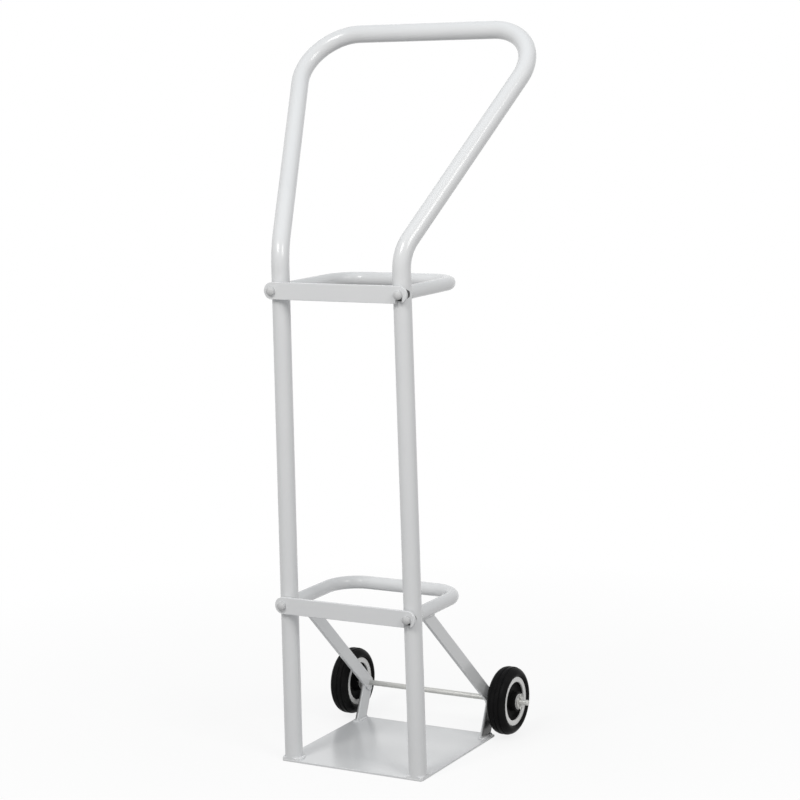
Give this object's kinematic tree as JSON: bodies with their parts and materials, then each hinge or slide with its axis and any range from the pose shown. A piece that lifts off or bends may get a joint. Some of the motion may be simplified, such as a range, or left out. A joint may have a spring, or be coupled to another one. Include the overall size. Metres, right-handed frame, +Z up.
{
  "type": "gas cylinder trolley",
  "caption": "Tubular steel gas cylinder trolley with a flared, swept-back handle, cylinder rings, swinging retaining straps, a flat base plate and rear wheels on an axle.",
  "frame": {"origin": "centre of the base plate's underside, which stands on the floor", "axes": "+Z up, +Y back towards the wheels and the lean of the handle, +X to the right seen from the front"},
  "size_m": [0.3878, 0.3024, 1.0402],
  "materials": {
    "frame_paint": "gloss powder coat in pale grey-white",
    "boss_black": "black oxide on threaded steel bosses",
    "bolt_steel": "dull zinc plate",
    "axle_steel": "zinc-plated rod",
    "tyre_rubber": "black moulded rubber with a slight sheen",
    "wheel_black": "black moulded plastic",
    "rim_white": "white moulded plastic",
    "hub_grey": "pale grey nylon"
  },
  "bodies": {
    "frame": {"base_plate": "frame_paint", "main_tube": "frame_paint", "lower_ring": "frame_paint", "upper_ring": "frame_paint", "left_brace": "frame_paint", "left_leg": "frame_paint", "right_brace": "frame_paint", "right_leg": "frame_paint", "lower_pivot_boss": "boss_black", "lower_latch_boss": "boss_black", "upper_pivot_boss": "boss_black", "upper_latch_boss": "boss_black", "lower_pivot_bolt": "bolt_steel", "lower_latch_bolt": "bolt_steel", "upper_pivot_bolt": "bolt_steel", "upper_latch_bolt": "bolt_steel", "axle": "axle_steel", "left_axle_spacer": "axle_steel", "left_axle_washer": "axle_steel", "left_split_pin": "axle_steel", "right_axle_spacer": "axle_steel", "right_axle_washer": "axle_steel", "right_split_pin": "axle_steel"},
    "left_wheel": {"left_tyre": "tyre_rubber", "left_wheel_core": "wheel_black", "left_outer_rim_ring": "rim_white", "left_inner_rim_ring": "rim_white", "left_hub_bush": "hub_grey"},
    "right_wheel": {"right_tyre": "tyre_rubber", "right_wheel_core": "wheel_black", "right_outer_rim_ring": "rim_white", "right_inner_rim_ring": "rim_white", "right_hub_bush": "hub_grey"},
    "lower_gate": {"lower_strap": "frame_paint"},
    "upper_gate": {"upper_strap": "frame_paint"}
  },
  "joints": [
    {"name": "left_wheel_spin", "type": "hinge", "parent": "frame", "child": "left_wheel", "pos_m": [-0.132, 0.1229, 0.0545], "axis": [1, 0, 0], "continuous": true},
    {"name": "right_wheel_spin", "type": "hinge", "parent": "frame", "child": "right_wheel", "pos_m": [0.132, 0.1229, 0.0545], "axis": [1, 0, 0], "continuous": true},
    {"name": "lower_strap_swing", "type": "hinge", "parent": "frame", "child": "lower_gate", "pos_m": [-0.1005, -0.11795, 0.231], "axis": [0, -1, 0], "range_deg": [0, 270]},
    {"name": "upper_strap_swing", "type": "hinge", "parent": "frame", "child": "upper_gate", "pos_m": [-0.1005, -0.11795, 0.678], "axis": [0, -1, 0], "range_deg": [0, 270]}
  ]
}
